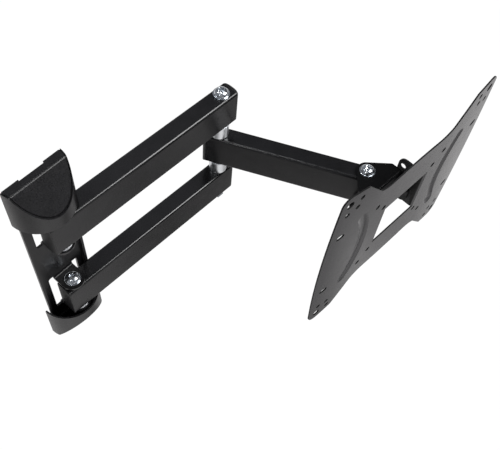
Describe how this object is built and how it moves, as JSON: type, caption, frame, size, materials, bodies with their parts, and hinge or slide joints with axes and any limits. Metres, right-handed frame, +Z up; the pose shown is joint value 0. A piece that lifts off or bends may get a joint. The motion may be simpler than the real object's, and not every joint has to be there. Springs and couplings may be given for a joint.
{
  "type": "full motion tv wall mount",
  "caption": "Articulated wall mount: two parallel arms and one forearm on vertical pins, with a swivelling, tilting screen plate.",
  "frame": {"origin": "on the wall plane behind the wall bracket's web, midway between the two arms", "axes": "+Z up, +Y into the wall, +X along the wall to the right seen from the room; the arms are part folded to the right"},
  "size_m": [0.4043, 0.2183, 0.252],
  "materials": {
    "powder_coat": "satin fine powder coat over steel",
    "plate_coat": "satin fine powder coat over steel",
    "cap_plastic": "fine grained moulded plastic",
    "plug_plastic": "smooth moulded plastic",
    "nylon": "plain nylon",
    "chrome": "bright plating over steel",
    "zinc": "bright zinc plating over steel",
    "black_oxide": "black finish over steel"
  },
  "bodies": {
    "wall": {"wall_bracket": "powder_coat", "top_cap": "cap_plastic", "bottom_cap": "cap_plastic", "shoulder_bolts": "chrome", "shoulder_thrust_washers": "chrome", "shoulder_nut_washers": "zinc", "shoulder_lock_nuts": "zinc"},
    "arm_pair": {"upper_arm_tube": "powder_coat", "lower_arm_tube": "powder_coat", "arm_wall_plugs": "plug_plastic", "arm_elbow_plugs": "plug_plastic", "shoulder_bushes": "nylon", "elbow_sleeves": "zinc", "elbow_bolt": "chrome", "elbow_washers": "zinc", "elbow_lock_nut": "zinc", "upper_elbow_spacer": "chrome", "lower_elbow_spacer": "chrome"},
    "forearm": {"forearm_tube": "powder_coat", "forearm_elbow_plug": "plug_plastic", "forearm_head_plug": "plug_plastic", "elbow_bushes": "nylon", "swivel_bushes": "nylon"},
    "head": {"head_bracket": "powder_coat", "swivel_bolt": "chrome", "swivel_washer": "zinc", "swivel_lock_nut": "zinc", "tilt_pivot_screws": "black_oxide", "tilt_clamp_screws": "black_oxide", "tilt_washers": "black_oxide", "tilt_nuts": "black_oxide", "tilt_friction_discs": "nylon"},
    "screen": {"screen_plate": "plate_coat"}
  },
  "joints": [
    {"name": "shoulder", "type": "hinge", "parent": "wall", "child": "arm_pair", "pos_m": [0, -0.016, 0], "axis": [0, 0, 1], "range_deg": [-177.4, 2.5]},
    {"name": "elbow", "type": "hinge", "parent": "arm_pair", "child": "forearm", "pos_m": [0.19949, -0.02506, 0], "axis": [0, 0, 1], "range_deg": [-41.8, 168.2]},
    {"name": "head_swivel", "type": "hinge", "parent": "forearm", "child": "head", "pos_m": [0.26291, -0.16616, 0], "axis": [0, 0, 1], "range_deg": [-61, 119]},
    {"name": "tilt", "type": "hinge", "parent": "head", "child": "screen", "pos_m": [0.26019, -0.19855, 0], "axis": [0.9965, -0.0837, 0], "range_deg": [-5, 15]}
  ]
}
